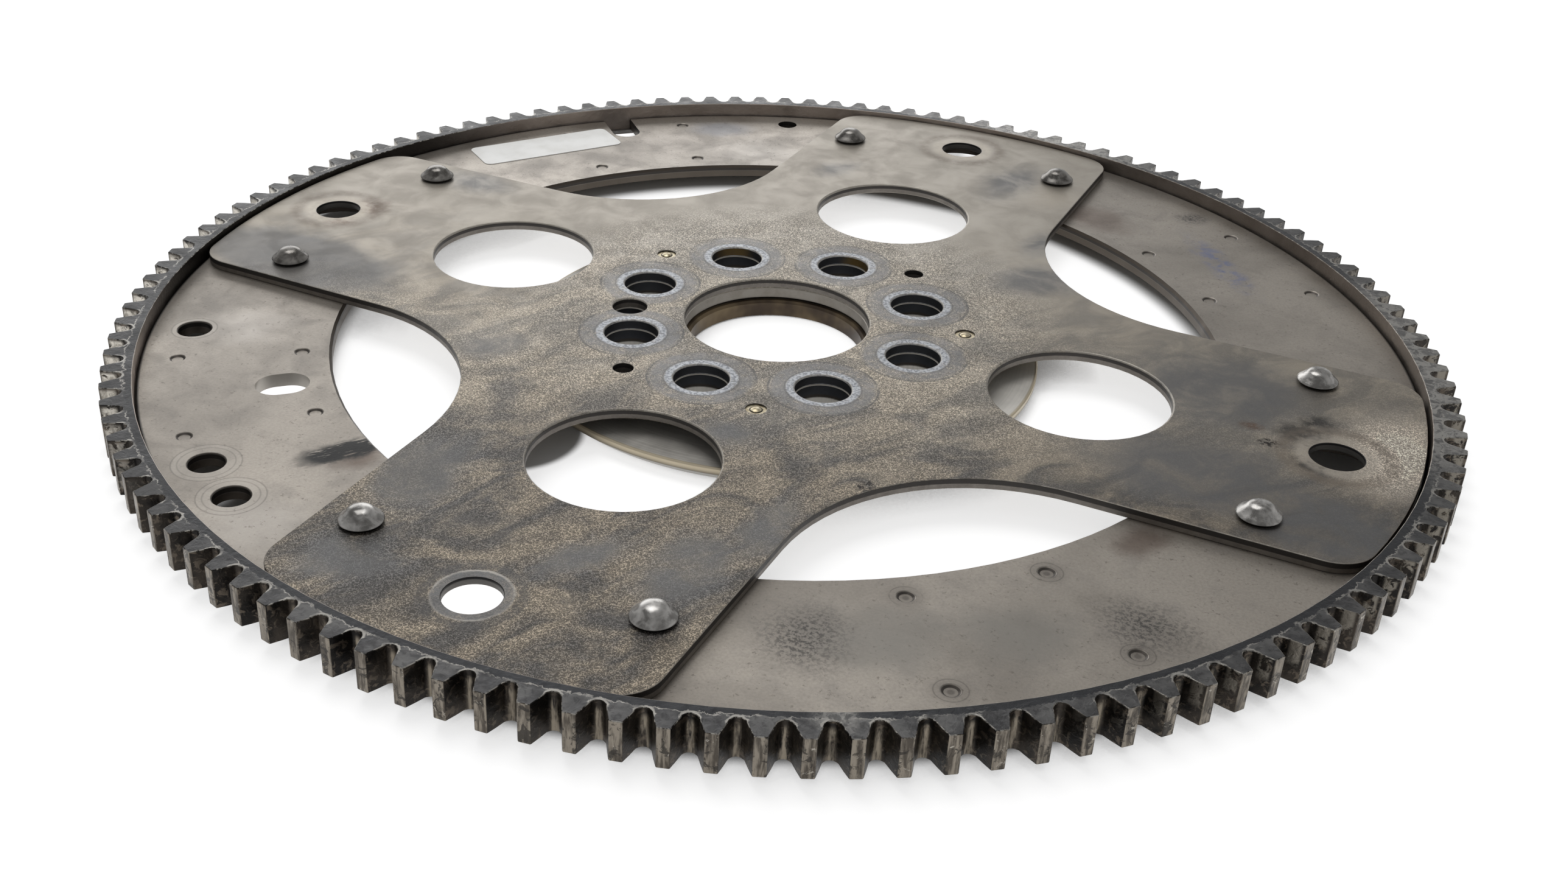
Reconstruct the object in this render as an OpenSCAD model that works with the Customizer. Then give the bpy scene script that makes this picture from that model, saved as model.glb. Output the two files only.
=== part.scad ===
// Flexplate of an automatic transmission: a four-armed sheet steel cross riveted to a
// ring plate that carries the starter ring gear.
// Millimetres. The crank axis is Z, and Z = 0 is the face that seats on the crankshaft.
// The arms lie along X and Y, and the converter side faces up.

/* [Ring gear] */
// Number of starter teeth
teeth = 122; // [116:1:128]
// Module of the teeth: 10 diametral pitch
tooth_module = 2.54; // [2.5:0.01:2.58]
// Tooth height above the pitch circle: stub form of 12 diametral pitch
addendum = 2.12; // [1.8:0.02:2.4]
// Tooth depth below the pitch circle
dedendum = 2.64; // [2.3:0.02:3.0]
// Pressure angle of the teeth
pressure_angle = 20; // [18:0.5:23]
// Turn of the ring against the arms, as it was welded
tooth_turn = -0.96; // [-1.4:0.02:1.4]
// Radius of the round bottom between two teeth
gap_round = 1.35; // [1.1:0.05:1.45]
// Steel under the teeth
ring_wall = 2.3; // [2.0:0.1:3.0]
// Width of the ring along its axis
ring_face = 8.7; // [8:0.1:9.6]
// Height of the ring above the cross
ring_rise = 1.2; // [0.6:0.1:2]

/* [Ring plate] */
// Thickness of the sheet that the ring plate and the hub spacer are punched from
sheet_t = 3.2; // [2.8:0.1:3.6]
// Radius of the ring plate's round opening
opening_r = 106.3; // [102:0.1:110]
// Rolled edge that the punch leaves on the plates
edge_roll = 0.6; // [0.3:0.1:0.9]
// Radius of the three small holes of the left segment
tool_hole_r = 3.9; // [3:0.1:4.5]
// Distance of those holes from the axis
tool_hole_at = 139.5; // [136:0.5:142]
// Width of the short radial slot
slot_w = 9.7; // [8:0.1:12]
// Length of the short radial slot
slot_l = 12.2; // [12.1:0.1:14]
// Radius of the small hole of the rear segment
rear_hole_r = 2.9; // [2:0.1:4]
// Radius of the clearance hole under each converter bolt hole
converter_clear_r = 12; // [11:0.5:14]
// Width of the notch in the outer edge
notch_w = 8.4; // [6:0.1:11]
// Distance of the notch's round end from the axis
notch_at = 134.5; // [130:0.5:140]
// Radius of the shallow round punch marks
mark_r = 1.9; // [1.4:0.1:2.4]
// Depth of the punch marks
mark_depth = 0.4; // [0.2:0.05:0.6]

/* [Cross] */
// Thickness of the cross
cross_t = 2.5; // [2:0.1:3]
// Width of an arm
arm_w = 84.4; // [80:0.2:88]
// Radius of the bay between two arms
bay_r = 45; // [38:0.5:50]
// Gap between an arm's end and the ring
arm_gap = 0.8; // [0.5:0.1:2.5]
// Radius of an arm's outer corners
corner_r = 9; // [6:0.5:12]
// Radius of the lightening hole in each arm
light_r = 20.6; // [17:0.2:22]
// Distance of the lightening holes from the axis
light_at = 75.5; // [73.5:0.5:79]
// Radius of the hole for the converter bolt
converter_hole_r = 5.8; // [4.5:0.1:6.5]
// Pitch circle of the converter bolts
converter_pcd = 263.8; // [258:0.2:268]

/* [Hub] */
// Radius of the cross's centre hole
centre_r = 22.4; // [21.8:0.1:23.5]
// Radius of the hole that fits over the crankshaft's end
pilot_r = 21.2; // [20:0.1:21.5]
// Pitch circle of the crankshaft bolts
crank_pcd = 72.4; // [70:0.2:74]
// Radius of the crankshaft bolt holes
crank_hole_r = 6.4; // [5.5:0.1:6.8]
// Turn of the bolt circle against the arms
crank_turn = -3.2; // [-6:0.1:0]
// Radius of the locating dowel's hole
dowel_hole_r = 4.2; // [3:0.1:4.8]
// Radius of the hub spacer
spacer_r = 50; // [49.5:0.1:52]
// Radius of the hub disc
disc_r = 63.3; // [60:0.1:66]
// Thickness of the hub disc
disc_t = 4; // [3.4:0.1:4.6]
// Slope of the disc's lower rim, measured inward
disc_slope = 2.8; // [1.5:0.1:4]

/* [Rivets] */
// Distance of an arm's rivets from the axis, along the arm
rivet_along = 122; // [116:0.5:126]
// Distance between the two rivets of an arm
rivet_spread = 65; // [58:0.5:68]
// Radius of a rivet's shank
rivet_r = 3.5; // [3:0.1:4]
// Radius of a rivet's head
rivet_head_r = 4.65; // [4.4:0.05:5.4]
// Height of a rivet's head
rivet_head_h = 3.5; // [2.9:0.1:4]
// Distance of the hub rivets from the axis
hub_rivet_at = 45.4; // [45:0.1:46]
// Radius of a hub rivet
hub_rivet_r = 2.4; // [1.8:0.1:2.8]

/* [Label] */
// Length of the blank paper label
label_l = 44; // [36:1:46]
// Width of the blank paper label
label_w = 14.4; // [12:0.2:15]
// Thickness of the label
label_t = 0.15; // [0.1:0.05:0.3]

/* [Hidden] */

// Heights of the stack, from the crankshaft up
spacer_z = disc_t;
cross_z = spacer_z + sheet_t;
cross_top = cross_z + cross_t;
plate_z = cross_z - sheet_t;
ring_top = cross_top + ring_rise;
ring_z = ring_top - ring_face;

// Radii of the ring gear
pitch_r = teeth * tooth_module / 2;
base_r = pitch_r * cos(pressure_angle);
tip_r = pitch_r + addendum;
root_r = pitch_r - dedendum;
ring_in_r = root_r - ring_wall;
tooth_step = 360 / teeth;
// Angle at which the round bottom of a gap runs into the flanks, from its middle
gap_reach = 68;
flank_foot_r = root_r + gap_round * (1 - cos(gap_reach));
flank_points = 3;
gap_points = 5;

// Cross
arm_end_r = ring_in_r - arm_gap;
corner_y = arm_w / 2 - corner_r;
corner_x = sqrt(pow(arm_end_r - corner_r, 2) - corner_y * corner_y);
corner_angle = atan2(corner_y, corner_x);
converter_at = converter_pcd / 2;
// The converter bolt hole widens where the punch broke out of the sheet
break_out = 1.2;
break_out_h = 0.8;

// Hub
bolt_count = 8;
bolt_step = 360 / bolt_count;
crank_at = crank_pcd / 2;
// Midway angles of the bolt circle that hold the hub rivets, the open holes and the dowel
hub_rivet_slots = [0, 3, 6];
hub_open_slots = [1, 5];
dowel_slot = 4;
// Height of the hub disc's upright rim, above its slope
disc_rim = 0.385 * disc_t;

// Holes of the ring plate, as angles from the X axis
tool_hole_angles = [-149.5, -123.2, -117];
slot_angle = -135.9;
// Sheet left between the slot and the round opening
slot_wall = 5.5;
slot_at = opening_r + slot_wall + slot_l / 2;
rear_hole_angle = 113.7;
rear_hole_at = 142.4;
notch_angle = 134.7;
// Punch marks: four in each segment, on two circles, at both sides of these angles
mark_middles = [-135.9, -45, 45.4, 134.6];
mark_spread = 7.5;
mark_wall = 6.8;
mark_ats = [opening_r + mark_wall, ring_in_r - mark_wall - mark_r];
mark_slope = 0.6;

// Rivets
rivet_shoulder = 0.7;
rivet_neck_r = rivet_r + rivet_shoulder;
rivet_neck_h = 0.5;
rivet_rim_h = 0.35;
cap_share = 0.62;
rivet_cap_r = rivet_head_r * cap_share;
rivet_cap_h = 1.1;
rivet_tail_r = rivet_head_r;
rivet_tail_h = 2;
rivet_tail_slope = 0.8;
hub_rivet_sink = 0.4;
hub_rivet_nub_h = 0.48;
nub_share = 0.6;
hub_rivet_nub_r = hub_rivet_r * nub_share;

// Welds
weld_count = 8;
weld_arc = 22;
weld_leg = min(1.5, plate_z - ring_z);

// Label
label_at = [-112, 75.2];
label_turn = 54.5;
label_corner = 2;

cut = 1;
$fn = 96;

function polar(r, a) = [r * cos(a), r * sin(a)];

// Involute function, in degrees
function involute(a) = tan(a) * 180 / PI - a;

// Half of a tooth's angle at radius r
function tooth_half(r) =
    tooth_step / 4 + involute(pressure_angle) - involute(acos(base_r / r));

// One flank of a tooth, from its foot to its tip; side is 1 or -1
function flank(middle, side) =
    [for (i = [0 : flank_points - 1])
        let (r = flank_foot_r + (tip_r - flank_foot_r) * i / (flank_points - 1))
        polar(r, middle + side * tooth_half(r))];

function reversed(list) = [for (i = [len(list) - 1 : -1 : 0]) list[i]];

// The round bottom of the gap after a tooth
function gap_bottom(middle) =
    [for (i = [0 : gap_points - 1])
        let (turn = -gap_reach + (i + 0.5) * 2 * gap_reach / gap_points)
        let (in = root_r + gap_round * (1 - cos(turn)))
        polar(in, middle + gap_round * sin(turn) / root_r * 180 / PI)];

// Outline of all teeth
function gear_outline() =
    [for (i = [0 : teeth - 1])
        let (middle = tooth_turn + i * tooth_step)
        each concat(flank(middle, -1), reversed(flank(middle, 1)),
                    gap_bottom(middle + tooth_step / 2))];

// Rounded cap of a rivet as profile points, from its edge to the axis
function cap_profile(r, h, z) =
    let (ball = (r * r + h * h) / (2 * h), reach = asin(r / ball), steps = 5)
    [for (i = [0 : steps])
        let (a = reach * (1 - i / steps))
        [ball * sin(a), z + ball * cos(a) - ball + h]];

module around(count, step) {
    for (i = [0 : count - 1])
        rotate(i * step)
            children();
}

// A through hole, cut past both faces of the stack
module hole(r, at, angle) {
    rotate(angle)
        translate([at, 0, -cut])
            cylinder(r = r, h = ring_top + 2 * cut);
}

// A hole whose upper edge is rolled in by the punch
module punched_hole(r, at, angle, top) {
    hole(r, at, angle);
    rotate(angle)
        translate([at, 0, top - edge_roll / 2])
            cylinder(r1 = r, r2 = r + edge_roll, h = edge_roll);
}

module crank_holes(top) {
    around(bolt_count, bolt_step)
        punched_hole(crank_hole_r, crank_at, crank_turn, top);
    hub_angle = crank_turn + bolt_step / 2;
    punched_hole(dowel_hole_r, crank_at, hub_angle + dowel_slot * bolt_step, top);
    for (slot = concat(hub_rivet_slots, hub_open_slots))
        hole(hub_rivet_r, hub_rivet_at, hub_angle + slot * bolt_step);
}

// A turned plate with a bore, its upper edges rolled
module punched_ring(in_r, out_r, low, high) {
    rotate_extrude($fn = 180)
        polygon([[in_r, low], [out_r, low], [out_r, high - edge_roll], [out_r - edge_roll, high],
                 [in_r + edge_roll, high], [in_r, high - edge_roll]]);
}

module at_arm_rivets() {
    around(4, 90)
        for (side = [-1, 1])
            translate([rivet_along, side * rivet_spread / 2, 0])
                children();
}

module ring_gear() {
    color("dimgray")
        difference() {
            translate([0, 0, ring_z])
                linear_extrude(ring_face)
                    polygon(gear_outline());
            translate([0, 0, ring_z - cut])
                cylinder(r = ring_in_r, h = ring_face + 2 * cut, $fn = 180);
        }
}

module ring_plate() {
    color("darkgray")
        difference() {
            punched_ring(opening_r, ring_in_r, plate_z, cross_z);
            for (angle = tool_hole_angles)
                punched_hole(tool_hole_r, tool_hole_at, angle, cross_z);
            hole(rear_hole_r, rear_hole_at, rear_hole_angle);
            radial_slot();
            edge_notch();
            punch_marks();
            at_arm_rivets()
                cylinder(r = rivet_r, h = ring_top);
            around(4, 90)
                hole(converter_clear_r, converter_at, 0);
        }
}

module punch_marks() {
    for (middle = mark_middles, side = [-1, 1], at = mark_ats)
        rotate(middle + side * mark_spread)
            translate([at, 0, cross_z - mark_depth])
                cylinder(r1 = mark_r - mark_slope, r2 = mark_r + mark_slope, h = 2 * mark_depth);
}

module radial_slot() {
    end = (slot_l - slot_w) / 2;
    for (side = [-1, 1])
        hole(slot_w / 2, slot_at + side * end, slot_angle);
    rotate(slot_angle)
        translate([slot_at - end, -slot_w / 2, 0])
            cube([2 * end, slot_w, ring_top]);
}

module edge_notch() {
    end_at = notch_at + notch_w / 2;
    hole(notch_w / 2, end_at, notch_angle);
    rotate(notch_angle)
        translate([end_at, -notch_w / 2, 0])
            cube([ring_in_r - end_at + cut, notch_w, ring_top]);
}

module ring_welds() {
    color("gray")
        around(weld_count, 360 / weld_count)
            rotate(-weld_arc / 2)
                rotate_extrude(angle = weld_arc, $fn = 180)
                    polygon([[ring_in_r, plate_z], [ring_in_r - weld_leg, plate_z],
                             [ring_in_r, plate_z - weld_leg]]);
}

// The corner of an arm outside its round edge
module corner_waste() {
    reach = 3 * corner_r;
    translate([corner_x, corner_y])
        difference() {
            polygon([[0, 0], polar(reach, corner_angle), [reach, reach], [0, reach]]);
            circle(r = corner_r);
        }
}

module cross_outline() {
    bay_at = arm_w / 2 + bay_r;
    difference() {
        intersection() {
            union() {
                square([2 * tip_r, arm_w], center = true);
                square([arm_w, 2 * tip_r], center = true);
                square(2 * bay_at, center = true);
            }
            circle(r = arm_end_r, $fn = 180);
        }
        around(4, 90) {
            translate([bay_at, bay_at])
                circle(r = bay_r);
            corner_waste();
            mirror([0, 1])
                corner_waste();
        }
    }
}

module cross_plate() {
    color("tan")
        difference() {
            translate([0, 0, cross_z])
                linear_extrude(cross_t)
                    cross_outline();
            punched_hole(centre_r, 0, 0, cross_top);
            crank_holes(cross_top);
            around(4, 90) {
                punched_hole(light_r, light_at, 0, cross_top);
                hole(converter_hole_r, converter_at, 0);
                translate([converter_at, 0, cross_z - break_out_h])
                    cylinder(r1 = converter_hole_r + 2 * break_out, r2 = converter_hole_r,
                             h = 2 * break_out_h);
            }
            at_arm_rivets()
                cylinder(r = rivet_r, h = ring_top);
        }
}

module hub_spacer() {
    color("gray")
        difference() {
            translate([0, 0, spacer_z])
                cylinder(r = spacer_r, h = sheet_t);
            punched_hole(centre_r, 0, 0, cross_z);
            translate([0, 0, spacer_z - edge_roll])
                cylinder(r1 = centre_r + 2 * edge_roll, r2 = centre_r, h = 2 * edge_roll);
            crank_holes(cross_z);
        }
}

module hub_disc() {
    color("silver")
        difference() {
            rotate_extrude($fn = 180)
                polygon([[pilot_r, 0], [disc_r - disc_slope, 0], [disc_r, disc_t - disc_rim],
                         [disc_r, disc_t - edge_roll / 2], [disc_r - edge_roll / 2, disc_t],
                         [pilot_r + edge_roll, disc_t], [pilot_r, disc_t - edge_roll]]);
            crank_holes(disc_t);
        }
}

// A rivet: cone head with a rounded cap on a neck, shank, and flat button tail
module arm_rivet() {
    rim_z = cross_top + rivet_neck_h;
    cap_z = cross_top + rivet_head_h - rivet_cap_h;
    rotate_extrude($fn = 48)
        polygon(concat(
            [[0, plate_z - rivet_tail_h], [rivet_tail_r - rivet_tail_slope, plate_z - rivet_tail_h],
             [rivet_tail_r, plate_z - rivet_tail_h / 2], [rivet_tail_r, plate_z],
             [rivet_r, plate_z], [rivet_r, cross_top], [rivet_neck_r, cross_top],
             [rivet_neck_r, rim_z], [rivet_head_r, rim_z], [rivet_head_r, rim_z + rivet_rim_h]],
            cap_profile(rivet_cap_r, rivet_cap_h, cap_z)));
}

module arm_rivets() {
    color("lightgray")
        at_arm_rivets()
            arm_rivet();
}

// A hub rivet: shank sunk a little below the cross, with a rounded nub in its middle
module hub_rivet() {
    top = cross_top - hub_rivet_sink;
    rotate_extrude($fn = 48)
        polygon(concat([[0, 0], [hub_rivet_r, 0], [hub_rivet_r, top], [hub_rivet_nub_r, top]],
                       cap_profile(hub_rivet_nub_r, hub_rivet_nub_h, top)));
}

module hub_rivets() {
    color("goldenrod")
        for (slot = hub_rivet_slots)
            rotate(crank_turn + (slot + 0.5) * bolt_step)
                translate([hub_rivet_at, 0, 0])
                    hub_rivet();
}

module paper_label() {
    color("white")
        translate([label_at[0], label_at[1], cross_z])
            rotate(label_turn)
                linear_extrude(label_t)
                    union() {
                        square([label_l - 2 * label_corner, label_w], center = true);
                        square([label_l, label_w - 2 * label_corner], center = true);
                        for (x = [-1, 1], y = [-1, 1])
                            translate([x * (label_l / 2 - label_corner),
                                       y * (label_w / 2 - label_corner)])
                                circle(r = label_corner, $fn = 32);
                    }
}

ring_gear();
ring_plate();
ring_welds();
cross_plate();
hub_spacer();
hub_disc();
arm_rivets();
hub_rivets();
paper_label();
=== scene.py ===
# A used flexplate lying flat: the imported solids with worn, stained and oily steel finishes.
import math

import bmesh
import bpy
from mathutils import Matrix, Vector


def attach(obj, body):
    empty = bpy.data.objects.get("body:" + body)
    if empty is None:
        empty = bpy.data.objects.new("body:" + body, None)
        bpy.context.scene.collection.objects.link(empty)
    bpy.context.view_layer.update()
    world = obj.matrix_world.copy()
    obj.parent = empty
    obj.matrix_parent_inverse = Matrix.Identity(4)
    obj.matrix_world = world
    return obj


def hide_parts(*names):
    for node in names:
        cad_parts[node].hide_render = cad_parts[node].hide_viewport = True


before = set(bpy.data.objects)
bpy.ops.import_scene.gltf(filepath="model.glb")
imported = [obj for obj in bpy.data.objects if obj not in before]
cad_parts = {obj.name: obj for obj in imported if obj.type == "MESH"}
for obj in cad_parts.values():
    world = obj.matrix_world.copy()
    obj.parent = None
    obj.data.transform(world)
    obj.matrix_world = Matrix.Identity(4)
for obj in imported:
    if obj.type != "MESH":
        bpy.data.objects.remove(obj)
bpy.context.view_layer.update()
scene = bpy.context.scene
scene.view_settings.view_transform = "Standard"


# Camera: a close view from above the front right, with the plate filling the picture.
# The lens is shifted a little sideways, as in a picture cropped from a wider one.
camera_place = (0.150956, -0.343461, 0.194912)
camera = bpy.data.objects.new("camera", bpy.data.cameras.new("camera"))
scene.collection.objects.link(camera)
camera.data.sensor_fit = "HORIZONTAL"
camera.data.sensor_width = 36
camera.data.lens = 39.43
camera.data.shift_x = 0.055
camera.data.clip_start = 0.01
view_azimuth = math.radians(-63.4656)
view_elevation = math.radians(30.3743)
view_roll = math.radians(1.6336)
view_back = Vector((math.cos(view_elevation) * math.cos(view_azimuth),
                    math.cos(view_elevation) * math.sin(view_azimuth),
                    math.sin(view_elevation)))
view_turn = view_back.to_track_quat("Z", "Y").to_matrix() @ Matrix.Rotation(view_roll, 3, "Z")
camera.matrix_world = Matrix.Translation(camera_place) @ view_turn.to_4x4()
scene.camera = camera


# Light: a soft box low behind the left, another overhead, and a room that is lighter at its walls than above.
# The metal takes its gradient from the soft box, so the near and right sides fall darker.
def soft_box(name, place, size, power):
    """An area lamp that faces the plate."""
    lamp = bpy.data.lights.new(name, "AREA")
    lamp.shape = "RECTANGLE"
    lamp.size, lamp.size_y = size
    lamp.energy = power
    box = bpy.data.objects.new(name, lamp)
    scene.collection.objects.link(box)
    box.location = place
    box.rotation_mode = "QUATERNION"
    box.rotation_quaternion = Vector(place).to_track_quat("Z", "Y")


soft_box("rear_light", (-0.85, 1.05, 0.42), (1.3, 0.6), 4.5)
soft_box("top_light", (-0.35, 0.25, 1.3), (0.8, 0.8), 6.0)


def add(tree, kind, settings=None, inputs=None):
    """Places a shader node, sets its properties, and sets or links its inputs."""
    made = tree.nodes.new("ShaderNode" + kind)
    for name, value in (settings or {}).items():
        setattr(made, name, value)
    for name, value in (inputs or {}).items():
        if isinstance(value, bpy.types.NodeSocket):
            tree.links.new(value, made.inputs[name])
        else:
            made.inputs[name].default_value = value
    return made


def fade(tree, value, low, high, start=0.0, end=1.0):
    """A smooth step from start to end while value goes from low to high."""
    return add(tree, "MapRange", {"interpolation_type": "SMOOTHSTEP"},
               {"Value": value, "From Min": low, "From Max": high,
                "To Min": start, "To Max": end}).outputs["Result"]


room = bpy.data.worlds.new("room")
scene.world = room
room.use_nodes = True
sky = room.node_tree
sky.nodes.clear()
sky_height = add(sky, "SeparateXYZ", None, {0: add(sky, "TexCoord").outputs["Generated"]}).outputs["Z"]
sky_level = fade(sky, sky_height, 0.2, 0.75, 0.75, 0.4)
sky_out = add(sky, "OutputWorld")
sky.links.new(add(sky, "Background", None, {"Strength": sky_level}).outputs[0], sky_out.inputs[0])


# Floor: plain white paper. It shows white to the camera and in the metal,
# and keeps a soft trace of the plate's shadow.
def calc(tree, operation, *values):
    """The result of a Math node."""
    return add(tree, "Math", {"operation": operation}, dict(enumerate(values))).outputs[0]


def times(tree, *values):
    """The product of two masks or values."""
    return calc(tree, "MULTIPLY", *values)


def from_point(tree, place, point):
    """How far a place is from a point."""
    return add(tree, "VectorMath", {"operation": "DISTANCE"}, {0: place, 1: point}).outputs["Value"]


paper_reach, paper_top = 30.0, -0.0004
paper = bmesh.new()
bmesh.ops.create_circle(paper, cap_ends=True, segments=96, radius=paper_reach)
bmesh.ops.translate(paper, verts=paper.verts, vec=(0, 0, paper_top))
floor = bpy.data.objects.new("floor", bpy.data.meshes.new("floor"))
paper.to_mesh(floor.data)
paper.free()
scene.collection.objects.link(floor)
floor_paper = bpy.data.materials.new("floor_paper")
floor_paper.use_nodes = True
sheet = floor_paper.node_tree
sheet.nodes.clear()
path = add(sheet, "LightPath")
shown = calc(sheet, "MAXIMUM", path.outputs["Is Camera Ray"],
             calc(sheet, "MAXIMUM", path.outputs["Is Glossy Ray"], path.outputs["Is Transmission Ray"]))
# Light comes from the left and little of it gets under the plate: the paper's glow is painted shade there,
# dimmed by ambient occlusion tilted to the left and painted out under the ring plate and beside the near
# lightening hole.
# Only two patches of painted light stay lit, seen through the near arm's bolt hole and through the slot of
# the left segment.
from_left = add(sheet, "CombineXYZ", None, {"X": -0.62, "Y": -0.3, "Z": 0.72}).outputs[0]
reached = add(sheet, "AmbientOcclusion", {"samples": 8},
              {"Distance": 0.016, "Normal": from_left}).outputs["AO"]
lit = times(sheet, fade(sheet, reached, 0.14, 0.42), 0.7)
on_floor = add(sheet, "TexCoord").outputs["Object"]
from_axis = add(sheet, "VectorMath", {"operation": "LENGTH"}, {0: on_floor}).outputs["Value"]
under_plate = times(sheet, fade(sheet, from_axis, 0.105, 0.111), fade(sheet, from_axis, 0.152, 0.148))
from_arm = from_point(sheet, on_floor, (-0.036, -0.064, 0))
painted_shadow = calc(sheet, "MAXIMUM", under_plate, fade(sheet, from_arm, 0.018, 0.0155))
lit = times(sheet, lit, calc(sheet, "SUBTRACT", 1.0, painted_shadow))
for patch_middle, patch_reach in (((-0.006, -0.123, 0), 0.022), ((-0.092, -0.074, 0), 0.015)):
    from_patch = from_point(sheet, on_floor, patch_middle)
    lit = calc(sheet, "MAXIMUM", lit, fade(sheet, from_patch, patch_reach, 0.7 * patch_reach))
glow = add(sheet, "Emission", None, {"Strength": times(sheet, shown, lit)})
matt = add(sheet, "BsdfDiffuse", None, {"Color": (0.6, 0.6, 0.6, 1)})
both = add(sheet, "AddShader", None, {0: matt.outputs[0], 1: glow.outputs[0]})
sheet.links.new(both.outputs[0], add(sheet, "OutputMaterial").inputs[0])
floor.data.materials.append(floor_paper)


# Hub disc: the round plate that seats on the crankshaft, punched from thick sheet and coined at its rim.
# It is plain grey steel with a bright worn upper edge, and oil has browned it round the bore.
def lay(tree, mask, under, over):
    """One colour laid on another where the mask is 1."""
    return add(tree, "Mix", {"data_type": "RGBA"}, {0: mask, 6: under, 7: over}).outputs[2]


def noise(tree, place, size, detail=4.0, rough=0.5, warp=0.0):
    """Noise with features about size metres across."""
    return add(tree, "TexNoise", None,
               {"Vector": place, "Scale": 1 / size, "Detail": detail, "Roughness": rough,
                "Distortion": warp}).outputs["Fac"]


def steel(name, metallic, roughness):
    """A material with its node tree, its shader and the piece's own coordinates."""
    made = bpy.data.materials.new(name)
    made.use_nodes = True
    tree = made.node_tree
    shader = tree.nodes["Principled BSDF"]
    shader.inputs["Metallic"].default_value = metallic
    shader.inputs["Roughness"].default_value = roughness
    spots = add(tree, "TexCoord")
    return made, tree, shader, spots.outputs["Object"], spots.outputs["Normal"]


def surface(tree, shader, colour, roughness, dents=None, depth=0.0, strength=0.0):
    """Links a finish to its shader: its colour, its roughness, and its dents if it has any."""
    tree.links.new(colour, shader.inputs["Base Color"])
    tree.links.new(roughness, shader.inputs["Roughness"])
    if dents is not None:
        bump = add(tree, "Bump", None, {"Strength": strength, "Distance": depth, "Height": dents})
        tree.links.new(bump.outputs[0], shader.inputs["Normal"])


def dress(node, made):
    """Gives a CAD node its finish."""
    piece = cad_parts[node]
    piece.data.materials.clear()
    piece.data.materials.append(made)


def new_group(name, inputs, outputs):
    """A shader node group with its sockets: its tree, what it is given, and what it puts out."""
    tree = bpy.data.node_groups.new(name, "ShaderNodeTree")
    for label, kind, value in inputs:
        socket = tree.interface.new_socket(label, in_out="INPUT", socket_type="NodeSocket" + kind)
        socket.default_value = value
    for label, kind in outputs:
        tree.interface.new_socket(label, in_out="OUTPUT", socket_type="NodeSocket" + kind)
    return tree, tree.nodes.new("NodeGroupInput").outputs, tree.nodes.new("NodeGroupOutput").inputs


# Masks that tell faces apart: facing up, upright walls, and the rolled corner between them,
# and how high a point lies between the sheet's lower and upper face.
sheet_faces, given, put = new_group(
    "sheet_faces",
    [("Place", "Vector", (0, 0, 0)), ("Normal", "Vector", (0, 0, 1)),
     ("Low", "Float", 0.0), ("High", "Float", 0.001)],
    [("Up", "Float"), ("Wall", "Float"), ("Rolled", "Float"), ("Height", "Float"), ("Radius", "Float")])
face_tilt = add(sheet_faces, "SeparateXYZ", None, {0: given["Normal"]}).outputs["Z"]
sheet_faces.links.new(fade(sheet_faces, face_tilt, 0.93, 0.99), put["Up"])
sheet_faces.links.new(fade(sheet_faces, calc(sheet_faces, "ABSOLUTE", face_tilt), 0.35, 0.15), put["Wall"])
rolled_low = fade(sheet_faces, face_tilt, 0.15, 0.4)
rolled_high = fade(sheet_faces, face_tilt, 0.985, 0.95)
sheet_faces.links.new(times(sheet_faces, rolled_low, rolled_high), put["Rolled"])
face_place = add(sheet_faces, "SeparateXYZ", None, {0: given["Place"]})
face_height = add(sheet_faces, "MapRange", None,
                  {"Value": face_place.outputs["Z"], "From Min": given["Low"], "From Max": given["High"]})
sheet_faces.links.new(face_height.outputs["Result"], put["Height"])
flat_place = add(sheet_faces, "CombineXYZ", None,
                 {"X": face_place.outputs["X"], "Y": face_place.outputs["Y"]})
flat_length = add(sheet_faces, "VectorMath", {"operation": "LENGTH"}, {0: flat_place.outputs[0]})
sheet_faces.links.new(flat_length.outputs["Value"], put["Radius"])


def face_masks(tree, place, normal, low, high):
    """The outputs of sheet_faces for a sheet between two heights."""
    return add(tree, "Group", {"node_tree": sheet_faces},
               {"Place": place, "Normal": normal, "Low": low, "High": high}).outputs


disc_low, disc_top = 0.0, 0.004
disc_steel, tree, shader, place, normal = steel("disc_steel", 0.6, 0.42)
faces = face_masks(tree, place, normal, disc_low, disc_top)
turned = noise(tree, add(tree, "CombineXYZ", None, {"X": faces["Radius"]}).outputs[0], 0.0006, 3.0)
cloud = noise(tree, place, 0.012, 6.0, 0.6)
colour = lay(tree, fade(tree, cloud, 0.35, 0.7), (0.58, 0.556, 0.51, 1), (0.78, 0.75, 0.695, 1))
colour = lay(tree, fade(tree, turned, 0.45, 0.6, 0.0, 0.25), colour, (0.3, 0.285, 0.265, 1))
# painted shade and painted light: the disc is darker towards its left and lighter towards its right
disc_x = add(tree, "SeparateXYZ", None, {0: place}).outputs["X"]
colour = lay(tree, fade(tree, disc_x, 0.05, 0.02, 0.0, 0.5), colour, (0.34, 0.325, 0.298, 1))
colour = lay(tree, fade(tree, disc_x, 0.03, 0.055, 0.0, 0.5), colour, (0.9, 0.87, 0.81, 1))
browned = fade(tree, noise(tree, place, 0.011, 3.0, 0.5), 0.36, 0.66)
bore = lay(tree, browned, (0.05, 0.034, 0.022, 1), (0.19, 0.14, 0.08, 1))
colour = lay(tree, fade(tree, faces["Radius"], 0.0245, 0.0222), colour, bore)
rim = fade(tree, faces["Radius"], 0.0624, 0.0631)
rim_top = times(tree, rim, fade(tree, faces["Height"], 0.5, 0.85))
colour = lay(tree, rim, colour, (0.11, 0.095, 0.075, 1))
colour = lay(tree, rim_top, colour, (0.62, 0.54, 0.4, 1))
surface(tree, shader, colour, fade(tree, cloud, 0.3, 0.7, 0.36, 0.52), turned, 0.00008, 0.5)
dress("hub_disc", disc_steel)
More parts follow.
